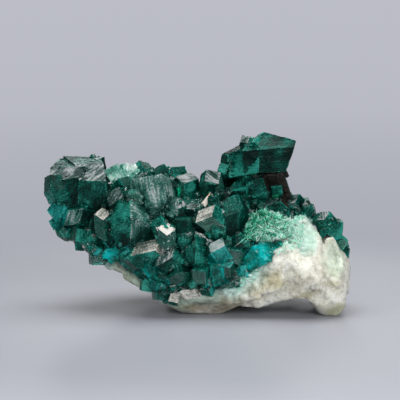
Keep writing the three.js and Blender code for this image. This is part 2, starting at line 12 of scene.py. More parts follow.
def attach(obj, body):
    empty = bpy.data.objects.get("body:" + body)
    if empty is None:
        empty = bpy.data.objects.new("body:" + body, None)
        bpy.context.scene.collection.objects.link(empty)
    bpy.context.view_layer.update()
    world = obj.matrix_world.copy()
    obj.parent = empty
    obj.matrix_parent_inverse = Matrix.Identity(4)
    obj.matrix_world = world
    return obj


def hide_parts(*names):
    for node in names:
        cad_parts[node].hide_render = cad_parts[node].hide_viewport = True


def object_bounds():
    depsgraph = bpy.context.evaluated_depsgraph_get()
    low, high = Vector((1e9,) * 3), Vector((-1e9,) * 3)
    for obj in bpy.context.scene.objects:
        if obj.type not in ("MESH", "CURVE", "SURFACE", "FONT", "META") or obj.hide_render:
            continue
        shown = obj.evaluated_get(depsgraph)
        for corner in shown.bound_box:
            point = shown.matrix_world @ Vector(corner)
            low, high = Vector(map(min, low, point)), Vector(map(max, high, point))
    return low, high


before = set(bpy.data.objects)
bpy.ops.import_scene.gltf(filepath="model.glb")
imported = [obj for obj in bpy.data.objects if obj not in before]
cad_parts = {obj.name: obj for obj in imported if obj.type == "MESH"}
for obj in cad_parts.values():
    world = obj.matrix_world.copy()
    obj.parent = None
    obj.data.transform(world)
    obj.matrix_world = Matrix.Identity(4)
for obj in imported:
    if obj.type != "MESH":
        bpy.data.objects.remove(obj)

# Dioptase on calcite. The scene is in metres, +Z up and -Y towards the camera.
# Lengths are in mm unless they say otherwise.

noise.seed_set(20)  # or noise vectors follow the clock

MM = 0.001
CAD_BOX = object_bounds()
BODY = "root"

FRONT_FACING = 0.3  # a face whose normal's y is below this looks forwards

# Fine crystals in the creases between the large ones
CRYSTAL_NODES = {
    "dioptase_main_crust": 1000, "dioptase_rim_cluster": 70, "dioptase_back_cluster": 50,
}
CONCAVE = math.radians(24)  # a crease at least this deep collects fine crystals
RHOMB_SLOPE = math.radians(51)
FACE_VARIATION = 0.22  # how unevenly the faces of a fine crystal have grown
DRUSE_RADIUS = (0.28, 1.0)  # prism radius
DRUSE_SMALLNESS = 2.6  # higher: more of them are small
DRUSE_LENGTH = (2.6, 4.2)  # tip-to-tip length, in radii
DRUSE_STRAY = 0.75  # how far a tip strays from the way its crease looks
DRUSE_SINK = (0.1, 0.7)  # how deep a middle lies in its crease, in radii
DRUSE_KINDS = 16  # different fine crystals that are repeated

# Facets
FACET_ANGLE = math.radians(0.8)  # faces closer in angle than this are one facet
WELD = 0.0001
GRAIN = 0.3  # spacing of the points on a facet
JITTER = 0.12  # how far a point strays in the grid, in grains
CLEARANCE = 0.45  # points keep this far from the facet's border, in grains
STEP = 0.035  # height of a growth step
TILT = 0.13  # how far the small parts of a facet lean away from it
PART_DENSITY = 0.8  # small parts of a facet per mm
PART_STRETCH = (0.35, 0.8)  # their width over their length, which is along the striations
LAYERED_BELOW, WAVY_BELOW = 0.4, 0.85  # a facet is layered, wavy or neither
FADE = 0.45  # steps fade out this close to a facet's border
EDGE_WEAR = 0.1  # how far edges wander
EDGE_WAVE = 1.3
STRIATION_TURN = 0.9  # how far the striations of a face with painted glints may turn from its longest edge

# Painted shade: a point is darker where other crystals stand over it
PAINTED_SHADE_REACH = 3.2  # what stands within this distance shelters it
PAINTED_SHADE_RAYS = 10
PAINTED_SHADE_WAYS = 97  # ray directions that all points share
PAINTED_SHADE_START = 0.06  # rays start this far off the surface

# Tone of a facet: a wave through the whole crust, with a random part
TONE_MEAN, TONE_SWING, TONE_WAVE, TONE_SPREAD = 0.45, 0.55, 0.17, 0.16
SEAM_REACH = 1.5  # facets this close to chrysocolla may be stained
ROCK_REACH = 0.7  # and facets this close to calcite
STAINED_SHARE = 0.5
CLEAR_SHARE = (0.12, 0.5)  # share of clear facets: at tone 0, and what tone 1 adds
PAINTED_GLINT_WAY = Vector((0, -0.68, 0.73))  # faces with painted glints, the ones that would mirror the light above, look about this way
PAINTED_GLINT_SPREAD = 0.9  # cosine of the widest angle from it
PAINTED_GLINT_SHARE = 0.8

# Places where facets are darker or lighter than elsewhere: middle, reach, change of tone. They are
# partly painted shade and painted glow, partly the crystals' own tone
SHADES = [
    ((-22.6, -8.2, 23.2), 5.2, -0.45), ((15.2, -6, 29.8), 5.0, -0.6), ((8.6, -5, 28.8), 3.6, 0.35),
    ((-13.0, -12, 17.6), 4.0, 0.12), ((-27.6, -6, 18.6), 4.6, 0.3), ((7.2, -9, 18.4), 3.2, -0.45),
    ((-20.0, -9, 13.6), 4.4, 0.3), ((-29.0, -8, 25.0), 2.6, 0.3), ((7.0, -8.4, 22.6), 3.0, -0.5),
    ((-8.4, -9, 22.8), 4.2, 0.25), ((2.0, -3, 24.6), 2.6, 0.1),
    ((-13.6, -0.6, 27), 2.8, 0.5), ((-1.6, -11, 19), 3.4, -0.3), ((-22, -7, 19.2), 3.0, -0.3),
    ((9.0, -11.0, 8.6), 3.0, 0.3),
]
# The same for places within a facet, also partly painted shade and painted glow
SPOTS = [
    ((-23.2, -8.0, 28.2), 1.4, -1.1), ((-18.4, -8.4, 21.2), 3.2, -0.5),
    ((-21.8, -8.5, 21.4), 1.8, 0.3), ((-25.0, -6.0, 29.3), 2.0, 0.25),
    ((-27.4, -7.6, 28.3), 1.5, -0.8), ((-12.9, -8.6, 23.6), 1.6, 0.45),
    ((-8.6, -8.2, 23.6), 2.2, 0.15), ((-10.9, -9.0, 25.6), 2.0, -0.3),
    ((-14.6, -11.8, 15.2), 2.4, -0.35), ((-10.2, -12.0, 16.0), 2.4, -0.5),
    ((-12.6, -11.4, 20.6), 1.8, 0.15), ((15.6, -6.0, 31.0), 2.4, 0.25),
    ((-3.1, -9.5, 25.6), 1.2, 0.5), ((-1.4, -3.2, 24.6), 1.2, 0.9),
]

# The finishes of a facet, and the look of each: name, tones from dark to light, the rest
CLEAR, MATTE, STAINED, SMOKY, PAINTED_GLINT, PALE, FROSTED, CREAM_AND_GLINT = range(8)
LOOKS = (
    ("dioptase_clear", [(0.02, 0.4, 0.3), (0.1, 0.7, 0.55), (0.3, 0.92, 0.8)],
     {"transmission": 0.9, "roughness": 0.1, "relief": 0.6, "shine": 0.2}),
    ("dioptase_matte", [(0.0, 0.012, 0.009), (0.003, 0.085, 0.064), (0.03, 0.31, 0.24)],
     {"transmission": 0.1, "shine": 0.035}),
    ("dioptase_stained", [(0.0, 0.05, 0.042), (0.0, 0.22, 0.19), (0.04, 0.55, 0.5)],
     {"transmission": 0.3, "absorbed": (0.0, 0.87, 0.84), "relief": 0.8, "shine": 0.05}),
    ("dioptase_smoky", [(0.002, 0.004, 0.003), (0.01, 0.01, 0.008), (0.03, 0.026, 0.02)],
     {"transmission": 0.1, "roughness": 0.3, "absorbed": (0.2, 0.3, 0.2), "shine": 0.05}),
    # Silvery: striated faces with painted highlights, bright stripes where they would mirror the
    # light above
    ("dioptase_silvery_painted_glint",
     [(0.0, 0.02, 0.015), (0.008, 0.055, 0.044), (0.12, 0.16, 0.155), (0.28, 0.3, 0.3)],
     {"transmission": 0.0, "roughness": 0.22, "shine": 0.14, "stripes": 0.6, "spacing": 0.5,
      "clouds": 0.4}),
    ("dioptase_pale",
     [(0.02, 0.2, 0.14), (0.12, 0.42, 0.33), (0.4, 0.7, 0.6), (0.8, 0.92, 0.88)],
     {"transmission": 0.3, "density": 300, "clouds": 0.55}),
    ("dioptase_frosted",
     [(0.0, 0.02, 0.015), (0.01, 0.085, 0.067), (0.075, 0.19, 0.165), (0.36, 0.42, 0.41)],
     {"transmission": 0.1, "roughness": 0.2, "shine": 0.06, "stripes": 0.25, "spacing": 0.4}),
    # Cream: pale faces, partly their own cream colour and partly painted highlights
    ("dioptase_cream_and_glint",
     [(0.03, 0.05, 0.04), (0.13, 0.15, 0.13), (0.34, 0.34, 0.3), (0.62, 0.61, 0.56)],
     {"transmission": 0.0, "roughness": 0.25, "shine": 0.12, "stripes": 0.3, "spacing": 0.4,
      "clouds": 0.2}),
)
# A facet whose middle is in one of these boxes has its finish: middle, half sides, finish, tone
# Their tones are partly painted light and shade: the darkest faces carry painted shade, the silvery
# and cream ones painted highlights
FINISH_BOXES = (
    # Left-hand block: top, bevels and front
    ((-22.0, -7.9, 28.1), (1.8, 1.3, 1.3), PAINTED_GLINT, 0.42),
    ((-26.0, -8.1, 27.9), (1.8, 1.3, 1.3), PAINTED_GLINT, 0.4),
    ((-25.4, -3.8, 29.3), (2.5, 3.0, 0.7), FROSTED, 0.1),
    ((-22.2, -8.6, 23.4), (4.8, 1.2, 3.2), MATTE, 0.3),
    # Below it at the left edge, and the grey face beside that
    ((-28.0, -6.5, 20.0), (2.6, 4.0, 3.2), STAINED, 0.6),
    ((-24.0, -9.2, 19.8), (1.5, 1.2, 1.5), FROSTED, 0.38),
    ((-19.5, -10.5, 20.2), (1.5, 1.5, 1.2), CREAM_AND_GLINT, 0.7),
    # The big crystals left of the middle: the front one, the one behind it and the pale back one
    ((-15.4, -11.6, 18.7), (1.5, 1.8, 3.8), MATTE, 0.4),
    ((-10.9, -11.4, 18.5), (1.5, 1.8, 3.8), FROSTED, 0.48),
    ((-7.8, -7.5, 22.9), (3.8, 3.0, 3.6), FROSTED, 0.43),
    ((-14.4, -0.4, 27.2), (2.2, 3.4, 1.8), PALE, 0.45),
    # Pale faces in the middle and along the lower edge, partly cream and partly painted highlights
    ((-9.3, -13.0, 14.4), (1.8, 1.3, 1.1), CREAM_AND_GLINT, 0.28),
    ((1.3, -11.2, 20.4), (1.3, 1.2, 1.2), CREAM_AND_GLINT, 0.44),
    ((-6.5, -11.5, 17.0), (0.8, 1.3, 1.1), CREAM_AND_GLINT, 0.9),
    ((-2.1, -11.5, 4.4), (2.6, 2.5, 1.2), CREAM_AND_GLINT, 0.85),
    ((-6.4, -13.5, 12.8), (1.3, 1.0, 1.3), PAINTED_GLINT, 0.6),
    ((3.5, -13.4, 14.6), (1.1, 0.9, 0.9), FROSTED, 0.7),
    ((4.5, -13.9, 12.1), (1.2, 0.8, 1.2), STAINED, 0.4),
    # The tall pair and what stands under it
    ((9.7, -5.7, 28.3), (1.2, 0.6, 1.3), MATTE, 0.55),
    ((7.1, -3.3, 29.0), (1.6, 2.2, 2.4), MATTE, 0.58),
    ((13.4, -6.0, 29.6), (2.5, 1.0, 3.0), MATTE, 0.0),
    ((12.0, -4.6, 33.4), (3.2, 2.0, 1.3), MATTE, 0.28),
    ((15.2, -4.4, 24.6), (2.9, 1.8, 3.4), SMOKY, 0.4),
    ((6.3, -10.2, 19.8), (1.4, 1.6, 3.4), MATTE, 0.2),
)

# Stage, in metres: a table that turns into a nearly even backdrop, which the crystals don't mirror;
# its glow is brighter far out and in front, as painted light
TABLE_COLOUR = (0.35, 0.36, 0.4)
TABLE_RADIUS = 0.1
TABLE_LIT_RADIUS = 0.062  # from here outwards the table blends into the backdrop's even light
BACKDROP_RADIUS = 0.55
BACKDROP_HEIGHT = 0.5
BACKDROP_BEND = 0.1  # radius of the bend from its floor to its wall
BEND_STEPS = 12
# painted light: the backdrop glows brighter far out than near the table
BACKDROP_NEAR = (0.41, 0.42, 0.47)
BACKDROP_FAR = (0.5, 0.51, 0.57)
FRONT_LIFT = 1.5  # painted light: how much brighter it is in front than behind
LIFT_FROM, LIFT_TO = 0.03, -0.09  # y where that begins and where it is full

# Camera and lights, in metres and watts
CAMERA_ELEVATION = math.radians(8)
CAMERA_AIM = (0.00034, -0.0019, 0.0218)
CAMERA_DISTANCE = 0.3333
CAMERA_LENS = 150  # in mm
WORLD_COLOUR, WORLD_STRENGTH = (0.8, 0.84, 0.92), 0.06
LIGHT_AIM = (0, 0, 0.018)
LIGHTS = (  # name, place, size, power
    ("softbox_above", (0.0, 0.01, 0.32), (0.3, 0.28), 1.3),
    ("fill_front", (0.08, -0.42, 0.18), (0.3, 0.2), 1.1),
    ("light_behind", (0.02, 0.32, 0.16), (0.2, 0.1), 0.14),
    ("window_left", (-0.3, -0.12, 0.26), (0.06, 0.16), 0.15),
    ("window_right", (0.28, -0.22, 0.12), (0.1, 0.1), 0.22),
)

# Calcite
ROCK_VOXEL = 0.34
ROCK_CLEAVAGE = ((5.2, 0.34), (5.2 * 0.45, 0.34 * 0.35))  # spacing and depth of broken steps
CLEAVAGE_PLANES = 7
SEED_TRIES = 6000  # points tried as middles of steps
SEEDS_COMPARED = 400
POINTS_AT_ONCE = 4000
ROCK_ROUGHNESS = 0.08
ROCK_WAVE = 0.45
FOOT_HEIGHT = 3  # below this the rock keeps nearer to its solid
FOOT_SHARE = 0.25  # share of its breaks that is left at the ground
ROCK_GROUND = 0.02  # its lowest points stand this high
STAIN_REACH = 5  # reach of the pale green stain from the crust

# Patches on the front of the calcite: middle and reach along x and z, tint
CALCITE_PATCHES = (
    ((14.8, 7.9), (2.4, 1.9), (0.84, 0.8, 0.64)),  # clear beige cleavage block
    ((11.4, 5.6), (2.4, 2.4), (0.93, 0.9, 0.82)),
    ((21.2, 15.6), (2.8, 3.4), (0.6, 0.84, 0.8)),  # mint veil under the peak
    ((26.8, 11.6), (2.6, 4.0), (0.86, 0.97, 0.9)),  # the tooth
    ((25.6, 7.2), (2.4, 0.8), (0.8, 0.79, 0.7)),  # the groove over the foot
    ((22.6, 5.4), (2.2, 0.8), (0.76, 0.75, 0.65)),
    ((20.4, 4.6), (2.0, 0.8), (0.76, 0.74, 0.64)),
    ((27.4, 1.4), (3.2, 1.7), (0.72, 0.73, 0.6)),  # under the foot
    ((-13.0, 7.0), (5.0, 3.4), (0.8, 0.76, 0.66)),  # the lower edge at the left
    ((-3.4, 2.0), (4.4, 1.3), (0.8, 0.74, 0.64)),
    ((2.4, 2.6), (7.0, 2.8), (0.64, 0.59, 0.54)),
    ((26.4, 5.0), (3.4, 3.2), (1.12, 1.12, 1.12)),  # the lump over the foot, brightened: painted light
    # brightened as well: painted light
    ((16.0, 5.4), (3.0, 2.4), (1.08, 1.08, 1.06)),
    ((6.6, 2.6), (3.4, 2.2), (0.86, 0.83, 0.74)),
)
PATCH_RAGGED, PATCH_WAVE = 0.35, 0.7  # how ragged a patch's outline is
PATCH_REACH, PATCH_BORDER = 1.15, 0.6
# The hollow under the boulder: its underside is raised by up to ARCH_RISE
ARCH_MIDDLE, ARCH_HALF_WIDTH, ARCH_TOP, ARCH_RISE = 17.8, 6.0, 6.4, 2.0

# Needle tuft
SPRAYS = 170
NEEDLES_PER_SPRAY = 24
NEEDLE_RADIUS = 0.065
RADIUS_SPREAD = (0.6, 1.7)
SPRAY_DEPTH = (0.4, 2.0)  # how deep a spray is rooted
SPRAY_LEAN = 1.1  # how far a spray leans
NEEDLE_STRAY = 1.4  # how far a needle strays from its spray
ROOT_SPREAD = 0.6  # a spray's needles start within this distance
NEEDLE_CORNERS = 7
NEEDLE_REACH = 2.8  # longest way to the solid's skin
BLIND_REACH = 0.8  # length of a needle that misses the skin
TIP_SPREAD = (0.55, 1.15)  # a tip's share of the way to the skin
TUFT_LEFT, TUFT_WIDTH = 9, 9  # needles are darker at the left
SHADE_LEFT, SHADE_RISE = 0.08, 0.8
SHADE_SPREAD = (0.3, 0.28)  # from spray to spray, and within one
LONG_FIBRES = (
    ((10.9, -12.6, 17.3), (7.0, -14.3, 14.4)), ((10.2, -12.4, 16.2), (8.8, -13.6, 14.9)),
)
FIBRE_RADIUS = 0.055
FIBRE_SHADE = 0.6
TUFT_SHADE_CORE_VOXEL = 0.3
TUFT_SHADE_CORE_DEPTH = 1.1  # how deep the dark core of painted shade lies

# Fringe: short pale needles on the calcite round the tuft and along the crust
FRINGE_NEEDLES = 3200
FRINGE_LEFT = 7  # there are none left of this
FRINGE_REACH = 4
NEAR_TUFT, NEAR_CRUST = 0.35, 0.78  # least nearness of a root, where 1 is touching
FRINGE_LENGTH = (0.3, 0.85)
FRINGE_RADIUS = (0.9, 1.7)  # in needle radii
FRINGE_SHADE, FRINGE_SHADE_SPREAD, FRINGE_DARKEST = 0.85, 0.2, 0.45

# Chrysocolla
SEAM_VOXEL = 0.12
SEAM_CLEAVAGE = ((1.5, 0.3), (0.7, 0.12))
SEAM_LUMPS, SEAM_WAVE = 0.12, 1.2


def new_object(name, mesh):
    piece = bpy.data.objects.new(name, mesh)
    bpy.context.scene.collection.objects.link(piece)
    return piece


def welded(node):
    """A CAD node's mesh as a bmesh in mm, with the corners that meet joined."""
    bm = bmesh.new()
    bm.from_mesh(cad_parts[node].data)
    bmesh.ops.scale(bm, vec=(1 / MM, 1 / MM, 1 / MM), verts=bm.verts)
    bmesh.ops.remove_doubles(bm, verts=bm.verts, dist=WELD)
    bm.normal_update()
    return bm


def mesh_of(name, corners, faces):
    mesh = bpy.data.meshes.new(name)
    mesh.from_pydata([tuple(c) for c in corners], [], [tuple(f) for f in faces])
    mesh.update()
    return mesh


def evaluated(piece):
    """The piece's mesh with its modifiers applied."""
    graph = bpy.context.evaluated_depsgraph_get()
    return bpy.data.meshes.new_from_object(piece.evaluated_get(graph))


def store(mesh, name, values, domain="POINT"):
    """Keeps a value for each point or face of a mesh."""
    layer = mesh.attributes.new(name, "FLOAT", domain)
    layer.data.foreach_set("value", np.array(values, dtype=np.float32))


def any_direction(rng):
    return Vector((rng.gauss(0, 1), rng.gauss(0, 1), rng.gauss(0, 1))).normalized()


def random_direction(rng, about, spread):
    """A direction that strays from another by a random amount."""
    return (about.normalized() + spread * any_direction(rng)).normalized()


# Fine crystals


def crystal_kind(rng):
    """Corners and triangles of a crystal of radius 1: a six-sided prism with three-faced ends."""
    length = rng.uniform(*DRUSE_LENGTH)
    planes = []
    for side in range(6):
        angle = math.pi / 3 * (side + 0.5)
        reach = math.cos(math.pi / 6) * (1 - FACE_VARIATION * rng.random())
        planes.append((math.cos(angle), math.sin(angle), 0, reach))
    for end in (1, -1):
        for third in range(3):
            angle = math.tau * third / 3 + (math.pi / 3 if end < 0 else 0)
            planes.append((
                math.sin(RHOMB_SLOPE) * math.cos(angle),
                math.sin(RHOMB_SLOPE) * math.sin(angle),
                math.cos(RHOMB_SLOPE) * end,
                length / 2 * math.cos(RHOMB_SLOPE) * (1 - FACE_VARIATION * rng.random()),
            ))
    planes = np.array(planes)
    corners = []
    for i in range(12):
        for j in range(i + 1, 12):
            for k in range(j + 1, 12):
                normals = planes[[i, j, k], :3]
                if abs(np.linalg.det(normals)) < 1e-5:
                    continue
                corner = np.linalg.solve(normals, planes[[i, j, k], 3])
                if (planes[:, :3] @ corner < planes[:, 3] + 1e-6).all():
                    corners.append(corner)
    bm = bmesh.new()
    for corner in corners:
        bm.verts.new(corner)
    bmesh.ops.remove_doubles(bm, verts=bm.verts, dist=1e-4)
    bmesh.ops.convex_hull(bm, input=bm.verts)
    bmesh.ops.triangulate(bm, faces=bm.faces)
    bm.verts.index_update()
    shape = [v.co for v in bm.verts], [[v.index for v in f.verts] for f in bm.faces]
    shape = tuple(np.array(part) for part in shape)
    bm.free()
    return shape


def tree_of(node):
    """A search tree over a CAD node in mm."""
    bm = welded(node)
    tree = BVHTree.FromBMesh(bm)
    bm.free()
    return tree


def creases(bm):
    """The concave edges of a crust, each with the way it looks and its length."""
    found = []
    for edge in bm.edges:
        if len(edge.link_faces) == 2 and edge.calc_face_angle_signed(0) < -CONCAVE:
            outward = (edge.link_faces[0].normal + edge.link_faces[1].normal).normalized()
            start, end = (corner.co.copy() for corner in edge.verts)
            found.append((start, end, outward, edge.calc_length()))
    return found


def within_cad_box(spots):
    """Whether points in mm lie in the box of the whole CAD model."""
    low, high = (np.array(corner) / MM for corner in CAD_BOX)
    return bool((spots > low).all() and (spots < high).all())


def grow_druse(bm, count, rng, kinds):
    """Batches of fine crystals in the creases, with no two crystals of a batch touching."""
    where = creases(bm)
    weights = [crease[3] for crease in where]
    batches = []
    for start, end, outward, _ in rng.choices(where, weights, k=count):
        small, large = DRUSE_RADIUS
        radius = small + (large - small) * rng.random() ** DRUSE_SMALLNESS
        corners, triangles = rng.choice(kinds)
        tip = random_direction(rng, outward, DRUSE_STRAY)
        middle = start.lerp(end, rng.random()) - outward * radius * rng.uniform(*DRUSE_SINK)
        spin = Matrix.Rotation(rng.uniform(0, math.tau), 3, "Z")
        turn = tip.to_track_quat("Z", "Y").to_matrix() @ spin
        placed = corners @ np.array(turn).T * radius + np.array(middle)
        reach = np.linalg.norm(corners, axis=1).max() * radius
        if not within_cad_box(placed):
            continue
        for batch in batches:
            if all((middle - other).length > reach + size for other, size, _, _ in batch):
                batch.append((middle, reach, placed, triangles))
                break
        else:
            batches.append([(middle, reach, placed, triangles)])
    return batches


def fused(name, bm, batches):
    """One closed mesh of a crust and its fine crystals."""
    mesh = bpy.data.meshes.new(name)
    bm.to_mesh(mesh)
    piece = new_object(name, mesh)
    for batch in batches:
        corners = []
        triangles = []
        for _, _, placed, shape in batch:
            triangles.extend(shape + len(corners))
            corners.extend(placed)
        extra = new_object("fine", mesh_of("fine", corners, triangles))
        union = piece.modifiers.new("union", "BOOLEAN")
        union.operation = "UNION"
        union.solver = "MANIFOLD"
        union.object = extra
        joined = evaluated(piece)
        piece.modifiers.clear()
        piece.data = joined
        bpy.data.objects.remove(extra)
    return piece


# Facets


def inside(points, ring):
    """Which points lie inside a polygon, which may have a hole reached by a doubled edge."""
    a = ring
    b = np.roll(ring, -1, axis=0)
    x = points[:, 0][:, None]
    y = points[:, 1][:, None]
    crosses = (a[:, 1] > y) != (b[:, 1] > y)
    rise = np.where(b[:, 1] == a[:, 1], 1e-12, b[:, 1] - a[:, 1])
    left = x < (b[:, 0] - a[:, 0]) * (y - a[:, 1]) / rise + a[:, 0]
    return (crosses & left).sum(axis=1) % 2 == 1


def border_distance(points, ring):
    """Each point's distance from a polygon's border."""
    a = ring
    along = np.roll(ring, -1, axis=0) - a
    length = np.maximum((along**2).sum(axis=1), 1e-12)
    offset = points[:, None, :] - a[None]
    t = np.clip((offset * along).sum(axis=2) / length, 0, 1)
    return np.linalg.norm(offset - t[..., None] * along, axis=2).min(axis=1)


def growth(points, chance):
    """Heights of the growth steps and striations of one facet, whose striations run along x."""
    drift = chance.uniform(0, 500)
    style = chance.random()
    stretch = chance.uniform(*PART_STRETCH)
    dense = PART_DENSITY
    heights = []
    for x, y in points:
        _, nearest = noise.voronoi(Vector((stretch * dense * x + drift, dense * y, drift)))
        cell = noise.cell_vector(nearest[0] * 50)
        middle = Vector(((nearest[0].x - drift) / (stretch * dense), nearest[0].y / dense))
        tilt = (cell.x - 0.5) * (x - middle.x) + (cell.y - 0.5) * (y - middle.y)
        height = STEP * 2.5 * (cell.z - 0.5) + TILT * tilt
        if style < LAYERED_BELOW:
            layer = noise.noise(Vector((0.16 * x + drift, 0.42 * y, drift))) * 3.2
            height += STEP * 1.3 * round(layer)
        elif style < WAVY_BELOW:
            height += STEP * 2.2 * noise.noise(Vector((0.12 * x + drift, 1.5 * y, drift)))
        heights.append(height)
    return np.array(heights)


def openness(mesh, rng):
    """How open each point is to its surroundings: 1 on a tip, near 0 deep between crystals, where
    it sets the painted shade.
    """
    corners = [v.co for v in mesh.vertices]
    tree = BVHTree.FromPolygons(corners, [tuple(p.vertices) for p in mesh.polygons])
    spread = [any_direction(rng) for _ in range(PAINTED_SHADE_WAYS)]
    reach = PAINTED_SHADE_REACH * MM
    amount = []
    for index, vertex in enumerate(mesh.vertices):
        start = vertex.co + vertex.normal * PAINTED_SHADE_START * MM
        shade_hits = 0.0
        for ray in range(PAINTED_SHADE_RAYS):
            way = (vertex.normal * 1.05 + spread[(index * 7 + ray) % PAINTED_SHADE_WAYS]).normalized()
            hit = tree.ray_cast(start, way, reach)
            if hit[0] is not None:
                shade_hits += 1 - 0.5 * hit[3] / reach
        amount.append(1 - shade_hits / PAINTED_SHADE_RAYS)
    return amount


def refine(piece, rng, finish_of):
    """Divides each facet of a crust finely, raises growth steps on it and gives it its finish."""
    bm = bmesh.new()
    bm.from_mesh(piece.data)
    bmesh.ops.remove_doubles(bm, verts=bm.verts, dist=0.0005)
    bmesh.ops.dissolve_degenerate(bm, edges=bm.edges, dist=0.002)
    bmesh.ops.dissolve_limit(bm, angle_limit=FACET_ANGLE, verts=bm.verts, edges=bm.edges)
    bm.verts.index_update()
    corners = [np.array(v.co) for v in bm.verts]
    chains = {}
    for edge in bm.edges:
        first, last = edge.verts[0].index, edge.verts[1].index
        parts = max(1, round(edge.calc_length() / GRAIN))
        between = []
        for part in range(1, parts):
            between.append(len(corners))
            corners.append(corners[first] + (corners[last] - corners[first]) * part / parts)
        chains[first, last] = between
        chains[last, first] = between[::-1]
    for index, corner in enumerate(corners):
        wander = noise.noise_vector(Vector(corner * EDGE_WAVE))
        corners[index] = corner + EDGE_WEAR * np.array(wander)
    edge_points = len(corners)
    triangles = []
    places = []
    finishes = []
    tones = []
    for face in bm.faces:
        middle = face.calc_center_bounds()
        chance = random.Random(str([round(v, 1) for v in middle]))
        loop = [v.index for v in face.verts]
        ring = []
        for here, there in zip(loop, loop[1:] + loop[:1]):
            ring.append(here)
            ring.extend(chains[here, there])
        normal = np.array(face.normal)
        longest = max(face.edges, key=lambda edge: edge.calc_length())
        finish, tone = finish_of(middle, face.normal, chance)
        turn = 0
        if finish == PAINTED_GLINT:
            turn = chance.choice((-1, 1)) * STRIATION_TURN * chance.uniform(0.4, 1)
        way = (longest.verts[1].co - longest.verts[0].co).normalized()
        along = np.array(Matrix.Rotation(turn, 3, face.normal) @ way)
        across = np.cross(normal, along)
        origin = np.array(middle)
        spots = np.array([corners[i] for i in ring]) - origin
        flat = np.stack([spots @ along, spots @ across], axis=1)
        low, high = flat.min(axis=0), flat.max(axis=0)
        row = GRAIN * math.sqrt(3) / 2
        grid = []
        for j in range(int((high[1] - low[1]) / row) + 1):
            for i in range(int((high[0] - low[0]) / GRAIN) + 1):
                x = low[0] + (i + 0.5 * (j % 2)) * GRAIN + chance.uniform(-JITTER, JITTER) * GRAIN
                grid.append((x, low[1] + j * row + chance.uniform(-JITTER, JITTER) * GRAIN))
        grid = np.array(grid)
        grid = grid[inside(grid, flat)]
        if len(grid):
            far = border_distance(grid, flat)
            grid = grid[far > CLEARANCE * GRAIN]
            far = far[far > CLEARANCE * GRAIN]
        ids = list(ring)
        flat_all = flat
        if len(grid):
            raised = growth(grid, chance) * np.clip(far / FADE, 0, 1) ** 0.7
            spots3 = origin + grid[:, :1] * along + grid[:, 1:] * across + raised[:, None] * normal
            ids.extend(range(len(corners), len(corners) + len(grid)))
            corners.extend(spots3)
            flat_all = np.concatenate([flat, grid])
        borders = [(i, (i + 1) % len(ring)) for i in range(len(ring))]
        divided = delaunay_2d_cdt([Vector(p) for p in flat_all], borders, [], 0, 1e-7)
        out = np.array([tuple(p) for p in divided[0]])
        pieces, sources = divided[2:4]
        keep = []
        if pieces:
            keep = inside(np.array([out[list(t)].mean(axis=0) for t in pieces]), flat)
        drift = (chance.uniform(0, 400), chance.uniform(0, 400))
        names = []
        for place, source in zip(out, sources):
            if source:
                names.append(ids[source[0]])
            else:
                names.append(len(corners))
                corners.append(origin + place[0] * along + place[1] * across)
        for triangle, kept in zip(pieces, keep):
            if not kept:
                continue
            triangles.append([names[i] for i in triangle])
            places.extend([(out[i][0] + drift[0], out[i][1] + drift[1]) for i in triangle])
            finishes.append(finish)
            tones.append(tone)
    bm.free()
    mesh = mesh_of(piece.name, np.array(corners) * MM, triangles)
    layer = mesh.uv_layers.new(name="along_striations")
    layer.data.foreach_set("uv", np.array(places, dtype=np.float32).ravel())
    mesh.polygons.foreach_set("material_index", np.array(finishes, dtype=np.int32))
    middles = np.array(corners)[np.array(triangles)].mean(axis=1)
    # painted shade and painted glow within facets, partly the crystals' own tone
    for spot, reach, change in SPOTS:
        far = np.linalg.norm(middles - np.array(spot), axis=1) / reach
        tones = tones + change * np.clip(1 - far**2, 0, 1)
    store(mesh, "tone", tones, "FACE")
    mesh.update()
    # how open each point is, which sets the painted shade between the crystals
    store(mesh, "open", openness(mesh, rng))
    # the points along the facets' edges, which get painted glints
    store(mesh, "edge", np.arange(len(mesh.vertices)) < edge_points)
    piece.data = mesh


# Materials


def material(name, **inputs):
    """A node material with these values on its shader's sockets."""
    made = bpy.data.materials.new(name)
    made.use_nodes = True
    shader = made.node_tree.nodes["Principled BSDF"]
    for key, value in inputs.items():
        shader.inputs[key.replace("_", " ")].default_value = value
    return made, made.node_tree, shader


def add_node(tree, kind, **settings):
    node = tree.nodes.new(kind)
    for key, value in settings.items():
        if isinstance(value, (int, float, tuple)) and key in node.inputs:
            node.inputs[key].default_value = value
        else:
            setattr(node, key, value)
    return node


def ramp(tree, source, *stops):
    """A colour ramp over a value: each stop is its place and its colour."""
    node = tree.nodes.new("ShaderNodeValToRGB")
    while len(node.color_ramp.elements) < len(stops):
        node.color_ramp.elements.new(0.5)
    for element, (place, colour) in zip(node.color_ramp.elements, stops):
        element.position = place
        element.color = (*colour, 1) if len(colour) == 3 else colour
    tree.links.new(source, node.inputs["Fac"])
    return node.outputs["Color"]


def feed(tree, node, *sources):
    """Feeds a node's first sockets, each from another socket or with a plain value."""
    for source, socket in zip(sources, node.inputs):
        if isinstance(source, bpy.types.NodeSocket):
            tree.links.new(source, socket)
        else:
            socket.default_value = source


def place_in(tree):
    return add_node(tree, "ShaderNodeTexCoord").outputs["Object"]


def attribute(tree, name, output="Fac"):
    return add_node(tree, "ShaderNodeAttribute", attribute_name=name).outputs[output]


def speckle(tree, where, scale, detail, roughness, **settings):
    """Noise over the places given."""
    node = add_node(
        tree, "ShaderNodeTexNoise", Scale=scale, Detail=detail, Roughness=roughness, **settings
    )
    tree.links.new(where, node.inputs["Vector"])
    return node.outputs["Fac"]


